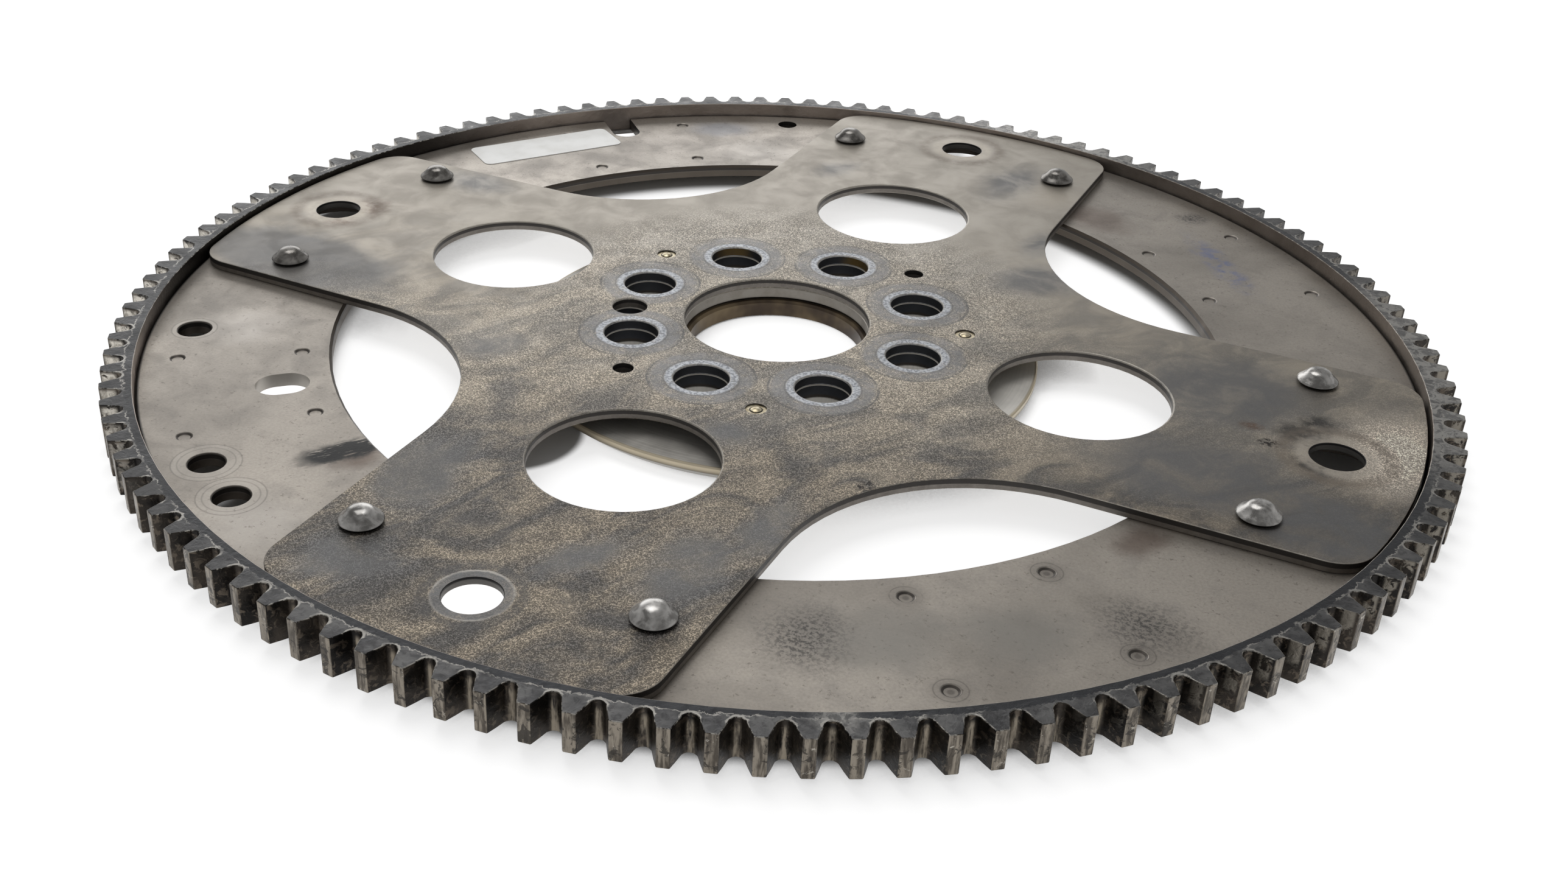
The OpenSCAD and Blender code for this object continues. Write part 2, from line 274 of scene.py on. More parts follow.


# Hub spacer: a round of the same sheet as the ring plate, between the cross and the hub disc.
# Only its bore and the walls of its bolt holes show, dark and brown with oil, with painted shade low on the
# walls and a painted highlight on the chamfers.
sheet_low, sheet_top = 0.004, 0.0072
spacer_steel, tree, shader, place, normal = steel("spacer_steel", 0.8, 0.48)
faces = face_masks(tree, place, normal, sheet_low, sheet_top)
cloud = noise(tree, place, 0.006, 6.0, 0.6)
colour = lay(tree, fade(tree, cloud, 0.35, 0.65), (0.2, 0.18, 0.155, 1), (0.3, 0.28, 0.25, 1))
colour = lay(tree, fade(tree, faces["Radius"], 0.0235, 0.0245), colour, (0.028, 0.03, 0.035, 1))
# painted shade low on the walls, and a painted highlight on the chamfered edges
colour = lay(tree, fade(tree, faces["Height"], 0.3, 0.05), colour, (0.03, 0.025, 0.02, 1))
colour = lay(tree, faces["Rolled"], colour, (0.5, 0.47, 0.42, 1))
surface(tree, shader, colour, fade(tree, cloud, 0.3, 0.7, 0.38, 0.55))
dress("hub_spacer", spacer_steel)


# Ring plate: the flat ring of rolled sheet steel that carries the starter ring, punched with its tool holes.
# It is the lightest steel of all, satin and warm grey, with smears, stains and a black scuff.
stain, given, put = new_group(
    "stain",
    [("Place", "Vector", (0, 0, 0)), ("Ragged", "Vector", (0.5, 0.5, 0.5)), ("Middle", "Vector", (0, 0, 0)),
     ("Reach", "Float", 0.01), ("Stretch", "Float", 1.0), ("Turn", "Float", 0.0), ("Wobble", "Float", 0.005),
     ("Softness", "Float", 0.5)],
    [("Mask", "Float")])
pushed = add(stain, "VectorMath", {"operation": "SUBTRACT"}, {0: given["Ragged"], 1: (0.5, 0.5, 0.5)})
pushed = add(stain, "VectorMath", {"operation": "SCALE"}, {0: pushed.outputs[0], "Scale": given["Wobble"]})
pushed = add(stain, "VectorMath", {"operation": "ADD"}, {0: given["Place"], 1: pushed.outputs[0]})
pushed = add(stain, "VectorMath", {"operation": "SUBTRACT"}, {0: pushed.outputs[0], 1: given["Middle"]})
pushed = add(stain, "VectorRotate", {"rotation_type": "Z_AXIS"},
             {"Vector": pushed.outputs[0], "Angle": times(stain, given["Turn"], -1.0)})
narrow = add(stain, "CombineXYZ", None, {"X": 1.0, "Y": given["Stretch"], "Z": 0.0})
pushed = add(stain, "VectorMath", {"operation": "MULTIPLY"}, {0: pushed.outputs[0], 1: narrow.outputs[0]})
away = add(stain, "VectorMath", {"operation": "LENGTH"}, {0: pushed.outputs[0]})
away = calc(stain, "DIVIDE", away.outputs["Value"], given["Reach"])
stain.links.new(fade(stain, away, 1.0, calc(stain, "SUBTRACT", 1.0, given["Softness"])), put["Mask"])


def polar(radius, angle):
    """A point of the plan, in metres, from millimetres and degrees about the crank axis."""
    turn = math.radians(angle)
    return (radius * math.cos(turn) / 1000, radius * math.sin(turn) / 1000, 0.0)


def stain_mask(tree, place, spots):
    """One mask of several stains: each has its middle, reach in millimetres, stretch, turn in degrees,
    wobble in millimetres, and softness."""
    ragged, whole = tree.nodes.get("ragged"), None
    if not ragged:
        ragged = add(tree, "TexNoise", {"name": "ragged"},
                     {"Vector": place, "Scale": 110.0, "Detail": 5.0, "Roughness": 0.62})
    for middle, reach, stretch, turn, wobble, softness in spots:
        mask = add(tree, "Group", {"node_tree": stain},
                   {"Place": place, "Ragged": ragged.outputs["Color"], "Middle": middle,
                    "Reach": reach / 1000, "Stretch": stretch, "Turn": math.radians(turn),
                    "Wobble": wobble / 1000, "Softness": softness}).outputs[0]
        whole = calc(tree, "MAXIMUM", whole, mask) if whole else mask
    return whole


def stained(tree, colour, over, strength, place, spots):
    """A colour with several stains of another."""
    return lay(tree, times(tree, stain_mask(tree, place, spots), strength), colour, over)


def band(tree, value, low, high, soft):
    """A soft band of a value between two limits."""
    return times(tree, fade(tree, value, low - soft, low + soft),
                 fade(tree, value, high + soft, high - soft))


def slant(tree, one, other):
    """The long side of a right triangle."""
    return calc(tree, "SQRT", calc(tree, "ADD", times(tree, one, one), times(tree, other, other)))


# Distance from the nearest of several holes that are spread evenly on a circle.
hole_ring, given, put = new_group(
    "hole_ring",
    [("Place", "Vector", (0, 0, 0)), ("Count", "Float", 4.0), ("Turn", "Float", 0.0),
     ("Circle", "Float", 0.1)],
    [("Away", "Float")])
spread = add(hole_ring, "SeparateXYZ", None, {0: given["Place"]}).outputs
angle = calc(hole_ring, "SUBTRACT", calc(hole_ring, "ARCTAN2", spread["Y"], spread["X"]), given["Turn"])
step = calc(hole_ring, "DIVIDE", math.tau, given["Count"])
nearest = times(hole_ring, calc(hole_ring, "ROUND", calc(hole_ring, "DIVIDE", angle, step)), step)
folded = calc(hole_ring, "SUBTRACT", angle, nearest)
out = slant(hole_ring, spread["X"], spread["Y"])
along = calc(hole_ring, "SUBTRACT", times(hole_ring, out, calc(hole_ring, "COSINE", folded)), given["Circle"])
across = times(hole_ring, out, calc(hole_ring, "SINE", folded))
hole_ring.links.new(slant(hole_ring, along, across), put["Away"])


def from_holes(tree, place, circle, count=4.0, turn=0.0):
    """How far a place is from the nearest of count holes on a circle, the first turned by some degrees."""
    return add(tree, "Group", {"node_tree": hole_ring},
               {"Place": place, "Count": count, "Turn": math.radians(turn), "Circle": circle}).outputs["Away"]


tool_circle = 0.1395
plate_steel, tree, shader, place, normal = steel("plate_steel", 0.85, 0.42)
faces = face_masks(tree, place, normal, sheet_low, sheet_top)
cloud = noise(tree, place, 0.05, 4.0, 0.5, 0.6)
patch = noise(tree, place, 0.010, 6.0, 0.62, 0.4)
fine = noise(tree, place, 0.0006, 3.0, 0.6)
colour = lay(tree, fade(tree, cloud, 0.34, 0.66), (0.27, 0.244, 0.212, 1), (0.415, 0.376, 0.328, 1))
colour = lay(tree, fade(tree, patch, 0.42, 0.72, 0.0, 0.4), colour, (0.19, 0.178, 0.165, 1))
colour = lay(tree, fade(tree, fine, 0.35, 0.7, 0.0, 0.22), colour, (0.15, 0.138, 0.125, 1))
colour = stained(tree, colour, (0.42, 0.39, 0.355, 1), 0.7, place, [
    (polar(140, -112), 16, 1.0, 0, 14, 0.9), (polar(128, -150), 16, 1.2, 30, 14, 0.9),
    (polar(118, 118), 18, 1.4, 20, 12, 0.9)])
colour = stained(tree, colour, (0.235, 0.222, 0.2, 1), 0.75, place, [
    (polar(126, -56), 20, 1.3, 30, 18, 0.9), (polar(128, -45), 18, 1.4, 20, 16, 0.9)])
colour = stained(tree, colour, (0.24, 0.24, 0.25, 1), 0.8, place, [(polar(137, 122.5), 13, 1.6, 35, 8, 0.7)])
colour = stained(tree, colour, (0.10, 0.064, 0.046, 1), 0.65, place, [
    (polar(117, 65), 16, 1.5, 150, 9, 0.8), (polar(114, -25.5), 10, 1.5, 60, 8, 0.8),
    (polar(112, -117), 9, 1.4, 60, 7, 0.8)])
pits = fade(tree, noise(tree, place, 0.0011, 3.0, 0.7), 0.6, 0.7, 0.0, 0.55)
colour = lay(tree, pits, colour, (0.13, 0.112, 0.094, 1))
dirt = fade(tree, noise(tree, place, 0.0009, 4.0, 0.7), 0.42, 0.62)
soil = stain_mask(tree, place, [
    (polar(135, -34.5), 15, 1.2, 0, 10, 0.95), (polar(125, -62.5), 13, 0.8, 30, 9, 0.95),
    (polar(141, 59), 7, 1.2, 60, 6, 0.9)])
colour = lay(tree, times(tree, soil, fade(tree, dirt, 0.0, 1.0, 0.3, 0.95)), colour, (0.07, 0.066, 0.062, 1))
chalk = stain_mask(tree, place, [(polar(127, 47), 26, 4.5, 128, 7, 0.9)])
chalk = times(tree, chalk, fade(tree, noise(tree, place, 0.004, 4.0, 0.6), 0.42, 0.6, 0.08, 0.6))
colour = lay(tree, chalk, colour, (0.105, 0.15, 0.34, 1))
streaks = add(tree, "Mapping", {"vector_type": "TEXTURE"},
              {"Vector": place, "Rotation": (0, 0, math.radians(56)), "Scale": (6.0, 1.0, 1.0)}).outputs[0]
scuff = stain_mask(tree, place, [(polar(113, -119), 14, 2.7, 56, 6, 0.5)])
scuff = times(tree, scuff, fade(tree, noise(tree, streaks, 0.0012, 4.0, 0.6), 0.36, 0.45))
colour = lay(tree, scuff, colour, (0.012, 0.012, 0.012, 1))
for hole_angle, worn_r in ((-123.2, 0.0072), (-117.0, 0.0070), (-149.5, 0.0052)):
    away = from_holes(tree, place, tool_circle, 1.0, hole_angle)
    worn = times(tree, band(tree, away, 0.0036, worn_r, 0.0003), fade(tree, patch, 0.3, 0.6, 0.9, 0.4))
    colour = lay(tree, times(tree, worn, 0.6), colour, (0.40, 0.37, 0.33, 1))
    groove = times(tree, band(tree, away, worn_r - 0.0013, worn_r - 0.0011, 0.0002), 0.5)
    outer_groove = times(tree, band(tree, away, worn_r, worn_r + 0.0002, 0.0002), 0.6)
    groove = calc(tree, "MAXIMUM", groove, outer_groove)
    colour = lay(tree, groove, colour, (0.10, 0.09, 0.08, 1))
# dark rings round the punch marks of the near right segment, with painted shade in the middle of each mark
# and round it; the marks lie alike in all four
turned_place = add(tree, "VectorRotate", {"rotation_type": "Z_AXIS"},
                   {"Vector": place, "Angle": math.radians(45)}).outputs[0]
folded_place = add(tree, "VectorMath", {"operation": "ABSOLUTE"}, {0: turned_place}).outputs[0]
folded_place = add(tree, "VectorMath", {"operation": "MULTIPLY"},
                   {0: folded_place, 1: (1, 1, 0)}).outputs[0]
from_mark = calc(tree, "MINIMUM", *[from_point(tree, folded_place, polar(mark_circle, 7.5))
                                    for mark_circle in (113.1, 141.3)])
near_right = fade(tree, add(tree, "SeparateXYZ", None, {0: turned_place}).outputs["X"], 0.09, 0.1)
mark_rings_and_shade = calc(tree, "MAXIMUM", band(tree, from_mark, 0.0030, 0.0033, 0.0002),
                  band(tree, from_mark, 0.0018, 0.0021, 0.0002))
mark_rings_and_shade = calc(tree, "MAXIMUM", times(tree, mark_rings_and_shade, fade(tree, patch, 0.35, 0.5, 0.2, 0.6)),
                  fade(tree, from_mark, 0.0012, 0.0004, 0.0, 0.7))
mark_rings_and_shade = calc(tree, "MAXIMUM", mark_rings_and_shade, fade(tree, from_mark, 0.0055, 0.0015, 0.0, 0.3))
colour = lay(tree, times(tree, mark_rings_and_shade, near_right), colour, (0.075, 0.066, 0.058, 1))
# punch marks, punched walls and the edges
dimple = times(tree, fade(tree, faces["Height"], 0.985, 0.95), fade(tree, faces["Height"], 0.75, 0.85))
dimple = times(tree, dimple, band(tree, faces["Radius"], 0.1078, 0.1485, 0.0002))
colour = lay(tree, times(tree, dimple, faces["Rolled"]), colour, (0.07, 0.062, 0.055, 1))
# the punched walls: torn grey below, and above a smooth sheared band painted black, a painted dark reflection
burnished_band_dark_reflection = times(tree, faces["Wall"], fade(tree, faces["Height"], 0.5, 0.6))
broken = times(tree, faces["Wall"], fade(tree, faces["Height"], 0.6, 0.5))
colour = lay(tree, broken, colour, (0.10, 0.085, 0.07, 1))
colour = lay(tree, burnished_band_dark_reflection, colour, (0.045, 0.04, 0.036, 1))
slot_wall = times(tree, faces["Wall"], stain_mask(tree, place, [(polar(117.9, -135.9), 9, 1.0, 0, 0, 0.2)]))
colour = lay(tree, slot_wall, colour, (0.42, 0.395, 0.36, 1))
opening_edge = times(tree, faces["Rolled"], fade(tree, faces["Radius"], 0.1072, 0.1069))
colour = lay(tree, opening_edge, colour, (0.075, 0.062, 0.05, 1))
# painted shade: the plate is near black from 148.8 mm out, in the corner against the ring gear's inner wall
painted_corner_shade = fade(tree, faces["Radius"], 0.1488, 0.1494)
colour = lay(tree, painted_corner_shade, colour, (0.015, 0.014, 0.013, 1))
surface(tree, shader, colour, fade(tree, patch, 0.3, 0.7, 0.36, 0.5), fine, 0.00006, 0.35)
dress("ring_plate", plate_steel)


# Ring gear: a turned steel ring with hobbed starter teeth, shrunk on the ring plate and welded below.
# Its faces are dark with old oil, chipped to bare steel round the roots, and its tooth tips are worn.
def eased_copy(node, name, width, segments):
    """A new piece of the node's shape, with its sharp edges slightly rounded."""
    shape = bmesh.new()
    shape.from_mesh(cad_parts[node].data)
    bmesh.ops.remove_doubles(shape, verts=shape.verts, dist=2e-6)
    bmesh.ops.dissolve_limit(shape, angle_limit=math.radians(0.5), verts=shape.verts, edges=shape.edges)
    sharp = [edge for edge in shape.edges if edge.calc_face_angle(0) > math.radians(25)]
    bmesh.ops.bevel(shape, geom=sharp, offset=width, offset_type="OFFSET", affect="EDGES", segments=segments,
                    profile=0.5, material=-1, clamp_overlap=True)
    for face in shape.faces:
        face.smooth = True
    mesh = bpy.data.meshes.new(name)
    shape.to_mesh(mesh)
    shape.free()
    mesh.set_sharp_from_angle(angle=math.radians(40))
    piece = bpy.data.objects.new(name, mesh)
    scene.collection.objects.link(piece)
    weights = piece.modifiers.new("even_faces", "WEIGHTED_NORMAL")
    weights.keep_sharp = True
    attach(piece, "root")
    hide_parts(node)
    return piece


ring_low, ring_top = 0.0022, 0.0109
teeth, first_tooth, gap_circle = 122, -0.96, 0.1537
ring_steel, tree, shader, place, normal = steel("ring_steel", 0.8, 0.4)
faces = face_masks(tree, place, normal, ring_low, ring_top)
cloud = noise(tree, place, 0.007, 6.0, 0.6)
patch = noise(tree, place, 0.0016, 5.0, 0.65, 0.6)
flaky = noise(tree, place, 0.0024, 5.0, 0.68, 0.8)
upright = add(tree, "Mapping", None, {"Vector": place, "Scale": (1.0, 1.0, 0.14)}).outputs[0]
runs = noise(tree, upright, 0.0008, 4.0, 0.6)
spread = add(tree, "SeparateXYZ", None, {0: place}).outputs
outward = add(tree, "VectorMath", {"operation": "NORMALIZE"},
              {0: add(tree, "CombineXYZ", None, {"X": spread["X"], "Y": spread["Y"]}).outputs[0]}).outputs[0]
facing = add(tree, "VectorMath", {"operation": "DOT_PRODUCT"}, {0: normal, 1: outward}).outputs["Value"]
# flanks: black oil with brown blotches, worn light where the pinion has run, and a pale painted highlight on
# the flanks at the far left
colour = lay(tree, fade(tree, cloud, 0.38, 0.66), (0.01, 0.0088, 0.008, 1), (0.05, 0.041, 0.033, 1))
colour = lay(tree, fade(tree, patch, 0.52, 0.62, 0.0, 0.75), colour, (0.12, 0.098, 0.076, 1))
run_in = times(tree, band(tree, faces["Radius"], 0.1543, 0.1564, 0.0003),
               fade(tree, faces["Height"], 0.35, 0.6))
run_in = times(tree, run_in, fade(tree, spread["X"], 0.095, 0.135))
run_in = times(tree, run_in, fade(tree, flaky, 0.42, 0.5))
colour = lay(tree, run_in, colour, (0.2, 0.182, 0.153, 1))
left_flank_highlight = times(tree, band(tree, faces["Radius"], 0.1535, 0.1567, 0.0004),
                 band(tree, faces["Height"], 0.2, 0.93, 0.06))
left_flank_highlight = times(tree, left_flank_highlight, fade(tree, flaky, 0.38, 0.46))
left_flank_highlight = times(tree, left_flank_highlight, fade(tree, spread["X"], -0.075, -0.115, 0.0, 0.9))
ivory_highlight = lay(tree, fade(tree, patch, 0.4, 0.6), (0.36, 0.335, 0.29, 1), (0.72, 0.68, 0.61, 1))
colour = lay(tree, left_flank_highlight, colour, ivory_highlight)
bottom = times(tree, fade(tree, facing, 0.7, 0.9), fade(tree, faces["Radius"], 0.1534, 0.1529))
bottom = times(tree, bottom, fade(tree, faces["Height"], 0.9, 0.7))
colour = lay(tree, times(tree, bottom, fade(tree, runs, 0.35, 0.6)), colour, (0.26, 0.225, 0.175, 1))
# tips: tan grey, streaked along the tooth
tip = times(tree, fade(tree, faces["Radius"], 0.1561, 0.1565), fade(tree, facing, 0.55, 0.8))
tip_colour = lay(tree, fade(tree, runs, 0.38, 0.62), (0.075, 0.064, 0.052, 1), (0.25, 0.22, 0.18, 1))
tip_colour = lay(tree, fade(tree, flaky, 0.53, 0.6, 0.0, 0.85), tip_colour, (0.03, 0.027, 0.024, 1))
tip_colour = lay(tree, fade(tree, patch, 0.62, 0.68, 0.0, 0.9), tip_colour, (0.42, 0.39, 0.34, 1))
colour = lay(tree, tip, colour, tip_colour)
# inner wall: brown, with painted light making it lighter behind, and painted shade making it black at the far
# left
inside = times(tree, fade(tree, faces["Radius"], 0.1506, 0.1502), fade(tree, facing, 0.0, -0.5))
wall_colour = lay(tree, cloud, (0.14, 0.118, 0.102, 1), (0.26, 0.225, 0.196, 1))
rear_wall_painted_light = lay(tree, cloud, (0.29, 0.243, 0.213, 1), (0.48, 0.412, 0.362, 1))
wall_colour = lay(tree, fade(tree, spread["X"], 0.05, 0.0), wall_colour, rear_wall_painted_light)
wall_colour = lay(tree, fade(tree, spread["X"], -0.115, -0.143), wall_colour, (0.035, 0.03, 0.026, 1))
colour = lay(tree, inside, colour, wall_colour)
# top: dark inner band, greyer teeth, and a ragged bare line round each gap
away = from_holes(tree, place, gap_circle, teeth, first_tooth + 180 / teeth)
ragged_r = calc(tree, "ADD", faces["Radius"], times(tree, calc(tree, "SUBTRACT", flaky, 0.5), 0.0035))
top_colour = lay(tree, fade(tree, cloud, 0.35, 0.65), (0.06, 0.0595, 0.061, 1), (0.12, 0.118, 0.116, 1))
top_colour = lay(tree, fade(tree, patch, 0.5, 0.62, 0.0, 0.55), top_colour, (0.035, 0.034, 0.035, 1))
top_colour = lay(tree, fade(tree, ragged_r, 0.15195, 0.15175), top_colour, (0.033, 0.034, 0.037, 1))
line = band(tree, ragged_r, 0.15185, 0.1521, 0.00012)
ragged_away = calc(tree, "ADD", away, times(tree, calc(tree, "SUBTRACT", patch, 0.5), 0.0018))
round_gap = times(tree, fade(tree, ragged_away, 0.0021, 0.0018), fade(tree, faces["Radius"], 0.1549, 0.1541))
line = calc(tree, "MAXIMUM", line, round_gap)
line = times(tree, line, fade(tree, noise(tree, place, 0.006, 3.0), 0.40, 0.55))
# painted shade: the top is darker towards the left
top_colour = lay(tree, fade(tree, spread["X"], 0.0, -0.125, 0.0, 0.88), top_colour, (0.021, 0.021, 0.022, 1))
bare = stain_mask(tree, place, [(polar(152, 18), 62, 1.0, 0, 14, 0.6), (polar(152, 82), 44, 1.0, 0, 14, 0.7),
                                (polar(152, -61), 5.5, 1.0, 0, 8, 0.9)])
bare = times(tree, bare, fade(tree, flaky, 0.42, 0.56, 0.28, 0.95))
top_colour = lay(tree, bare, top_colour, (0.33, 0.32, 0.3, 1))
top_colour = lay(tree, line, top_colour, (0.33, 0.316, 0.29, 1))
colour = lay(tree, faces["Up"], colour, top_colour)
# painted highlight along the rounded top edges, broken up by the patch noise
edge = times(tree, faces["Rolled"], fade(tree, patch, 0.46, 0.58))
colour = lay(tree, edge, colour, (0.33, 0.315, 0.285, 1))
surface(tree, shader, colour, fade(tree, cloud, 0.3, 0.7, 0.3, 0.48), patch, 0.00018, 0.7)
gear = eased_copy("ring_gear", "starter_ring", 0.00022, 2)
gear.data.materials.append(ring_steel)


# Ring welds: eight short beads below, in the corner between the ring gear and the ring plate.
# They are plain steel with the ripples of the torch.
weld_steel, tree, shader, place, normal = steel("weld_steel", 0.85, 0.45)
cloud = noise(tree, place, 0.003, 5.0, 0.6)
ripple = noise(tree, place, 0.0012, 2.0)
colour = lay(tree, cloud, (0.1, 0.09, 0.08, 1), (0.26, 0.25, 0.24, 1))
surface(tree, shader, colour, fade(tree, cloud, 0.3, 0.7, 0.38, 0.55), ripple, 0.0003, 0.8)
dress("ring_welds", weld_steel)


# Cross plate: the four-armed plate punched from sheet steel, with an edge that the punch has rolled.
# It is phosphated, brown grey and grainy in front, rubbed smooth and lighter behind, the lighter tone partly
# a painted reflection of the light behind, with bolt seats worn bright.
cross_low, cross_top = 0.0072, 0.0097
crank_circle, crank_turn, lug_circle = 0.0362, -3.2, 0.1319
cross_steel, tree, shader, place, normal = steel("cross_steel", 0.8, 0.48)
faces = face_masks(tree, place, normal, cross_low, cross_top)
spread = add(tree, "SeparateXYZ", None, {0: place}).outputs
cloud = noise(tree, place, 0.035, 5.0, 0.55, 0.8)
patch = noise(tree, place, 0.010, 6.0, 0.62, 0.5)
slanted = add(tree, "Mapping", {"vector_type": "TEXTURE"},
              {"Vector": place, "Rotation": (0, 0, math.radians(60)), "Scale": (1.8, 1.0, 1.0)}).outputs[0]
mottle = fade(tree, noise(tree, slanted, 0.013, 6.0, 0.6, 0.9), 0.38, 0.6)
worms = noise(tree, place, 0.00055, 1.5, 0.5, 0.35)
worms = fade(tree, calc(tree, "ABSOLUTE", calc(tree, "SUBTRACT", worms, 0.5)), 0.055, 0.012)
shift = times(tree, calc(tree, "SUBTRACT", cloud, 0.5), 0.06)
along = calc(tree, "ADD", calc(tree, "ADD", spread["Y"], times(tree, spread["X"], -0.35)), shift)
# darker in front and lighter behind: the phosphate is grainier in front, and the lighter tone behind is
# partly a painted reflection of the light behind
front = lay(tree, mottle, (0.08, 0.0745, 0.069, 1), (0.23, 0.195, 0.149, 1))
middle = lay(tree, mottle, (0.2, 0.182, 0.156, 1), (0.34, 0.3, 0.243, 1))
colour = lay(tree, fade(tree, along, -0.085, -0.02), front, middle)
colour = lay(tree, fade(tree, along, -0.02, 0.075), colour, (0.335, 0.306, 0.262, 1))
colour = lay(tree, fade(tree, patch, 0.4, 0.7, 0.0, 0.15), colour, (0.17, 0.155, 0.138, 1))
right_end = stain_mask(tree, place, [((0.143, 0.007, 0), 17, 0.62, 0, 10, 0.75)])
colour = lay(tree, right_end, colour, (0.56, 0.495, 0.415, 1))
slate = stain_mask(tree, place, [
    ((-0.027, -0.134, 0), 15, 1.2, 20, 14, 0.8), ((0.104, 0.018, 0), 29, 1.2, 10, 20, 0.7),
    ((0.108, -0.022, 0), 36, 1.7, -4, 16, 0.7), ((0.134, -0.030, 0), 24, 1.2, 0, 12, 0.6),
    ((0.038, -0.085, 0), 20, 2.6, 92, 10, 0.8), ((0.048, 0.053, 0), 19, 1.5, 45, 12, 0.8),
    ((0.043, 0.075, 0), 13, 1.9, 80, 10, 0.9), ((0.0215, 0.115, 0), 22, 2.2, 80, 12, 0.9),
    ((0.030, -0.100, 0), 15, 1.2, 60, 10, 0.9), ((-0.052, -0.047, 0), 14, 1.3, 40, 12, 0.9),
    ((0.014, -0.056, 0), 12, 1.5, 30, 10, 0.9), ((0.011, -0.111, 0), 17, 2.4, 60, 10, 0.8),
    ((0.031, -0.110, 0), 14, 1.3, 45, 10, 0.8), ((-0.033, -0.101, 0), 23, 1.5, 100, 14, 0.8),
    ((-0.026, 0.098, 0), 10, 1.4, 60, 10, 1.0), ((-0.110, 0.036, 0), 17, 1.6, 0, 10, 1.0)])
slate = times(tree, slate, fade(tree, patch, 0.34, 0.56, 0.55, 0.9))
colour = lay(tree, slate, colour, (0.13, 0.129, 0.129, 1))
colour = stained(tree, colour, (0.088, 0.085, 0.081, 1), 0.55, place, [
    ((-0.034, -0.101, 0), 17, 1.6, 100, 14, 0.9)])
colour = stained(tree, colour, (0.108, 0.107, 0.106, 1), 0.8, place, [
    ((-0.121, -0.031, 0), 37, 2.1, -4, 9, 0.4)])
colour = stained(tree, colour, (0.40, 0.352, 0.288, 1), 0.5, place, [
    ((-0.055, 0.002, 0), 15, 1.1, 0, 12, 0.9), ((0.036, 0.108, 0), 13, 1.2, 60, 10, 0.9)])
rust = stain_mask(tree, place, [
    ((-0.1248, 0.0059, 0), 8, 1.3, -60, 8, 0.8), ((-0.1265, -0.0058, 0), 5, 1.5, 20, 6, 0.8),
    ((0.112, 0.004, 0), 4, 1.6, 20, 6, 0.9)])
rust = times(tree, rust, fade(tree, noise(tree, place, 0.0025, 5.0, 0.7), 0.4, 0.56, 0.35, 0.85))
colour = lay(tree, rust, colour, (0.115, 0.068, 0.044, 1))
crust = stain_mask(tree, place, [
    ((0.1178, -0.0018, 0), 3.2, 1.4, 20, 5, 0.4), ((0.049, -0.061, 0), 3.0, 1.6, -70, 5, 0.3)])
smudge = stain_mask(tree, place, [
    ((0.1232, 0.0073, 0), 8.5, 1.4, 26, 7, 0.7), ((0.1260, 0.0132, 0), 6, 1.5, 26, 5, 0.7),
    ((0.1264, -0.0065, 0), 5.5, 1.6, -30, 5, 0.7)])
smudge = times(tree, smudge, fade(tree, noise(tree, place, 0.003, 4.0, 0.6), 0.36, 0.54, 0.3, 0.95))
colour = lay(tree, smudge, colour, (0.04, 0.036, 0.032, 1))
crust = times(tree, crust, fade(tree, noise(tree, place, 0.0012, 4.0, 0.7), 0.46, 0.54))
colour = lay(tree, crust, colour, (0.02, 0.015, 0.012, 1))
# grain of the phosphate, strongest in front of the hub and on the near arm
grainy = calc(tree, "MAXIMUM", fade(tree, along, 0.02, -0.04), fade(tree, faces["Radius"], 0.075, 0.052))
grainy = times(tree, grainy, fade(tree, slate, 0.8, 0.2, 0.3, 1.0))
grainy = times(tree, grainy, fade(tree, spread["X"], 0.055, 0.09, 1.0, 0.35))
grainy = calc(tree, "MAXIMUM", times(tree, grainy, fade(tree, patch, 0.3, 0.5, 0.6, 1.0)), right_end)
light_grain = times(tree, calc(tree, "SUBTRACT", worms, 0.26), times(tree, grainy, 1.55))
light_grain = calc(tree, "ADD", 1.0, light_grain)
colour = add(tree, "VectorMath", {"operation": "SCALE"}, {0: colour, "Scale": light_grain}).outputs[0]
# worn seats: eight crank bolts, and the four converter bolts
bolt = from_holes(tree, place, crank_circle, 8.0, crank_turn)
rubbed = noise(tree, place, 0.0022, 4.0, 0.6)
halo = times(tree, band(tree, bolt, 0.0060, 0.0120, 0.0008), fade(tree, rubbed, 0.3, 0.6, 0.25, 0.7))
colour = lay(tree, halo, colour, (0.19, 0.192, 0.198, 1))
pitted = noise(tree, place, 0.0007, 3.0, 0.6)
seat = times(tree, band(tree, bolt, 0.0060, 0.0084, 0.0003), fade(tree, rubbed, 0.3, 0.5, 0.6, 1.0))
seat_colour = lay(tree, fade(tree, pitted, 0.42, 0.56), (0.22, 0.23, 0.25, 1), (0.46, 0.475, 0.5, 1))
colour = lay(tree, seat, colour, seat_colour)
broken = fade(tree, noise(tree, place, 0.008, 3.0), 0.36, 0.52)
ring_mark = times(tree, band(tree, bolt, 0.0122, 0.0127, 0.00025), broken)
ring_mark = calc(tree, "MAXIMUM", ring_mark, times(tree, band(tree, bolt, 0.0086, 0.0089, 0.0002), 0.8))
colour = lay(tree, times(tree, ring_mark, 0.7), colour, (0.085, 0.085, 0.09, 1))
lug = from_holes(tree, place, lug_circle)
near_arm = fade(tree, spread["Y"], -0.1, -0.11)
faint = times(tree, fade(tree, rubbed, 0.3, 0.6, 0.3, 0.7), fade(tree, near_arm, 1.0, 0.0))
brown_ring = times(tree, faint, band(tree, lug, 0.0098, 0.0128, 0.0014))
colour = lay(tree, brown_ring, colour, (0.17, 0.14, 0.11, 1))
pale_ring = times(tree, faint, band(tree, lug, 0.0055, 0.0088, 0.0012))
colour = lay(tree, pale_ring, colour, (0.44, 0.395, 0.335, 1))
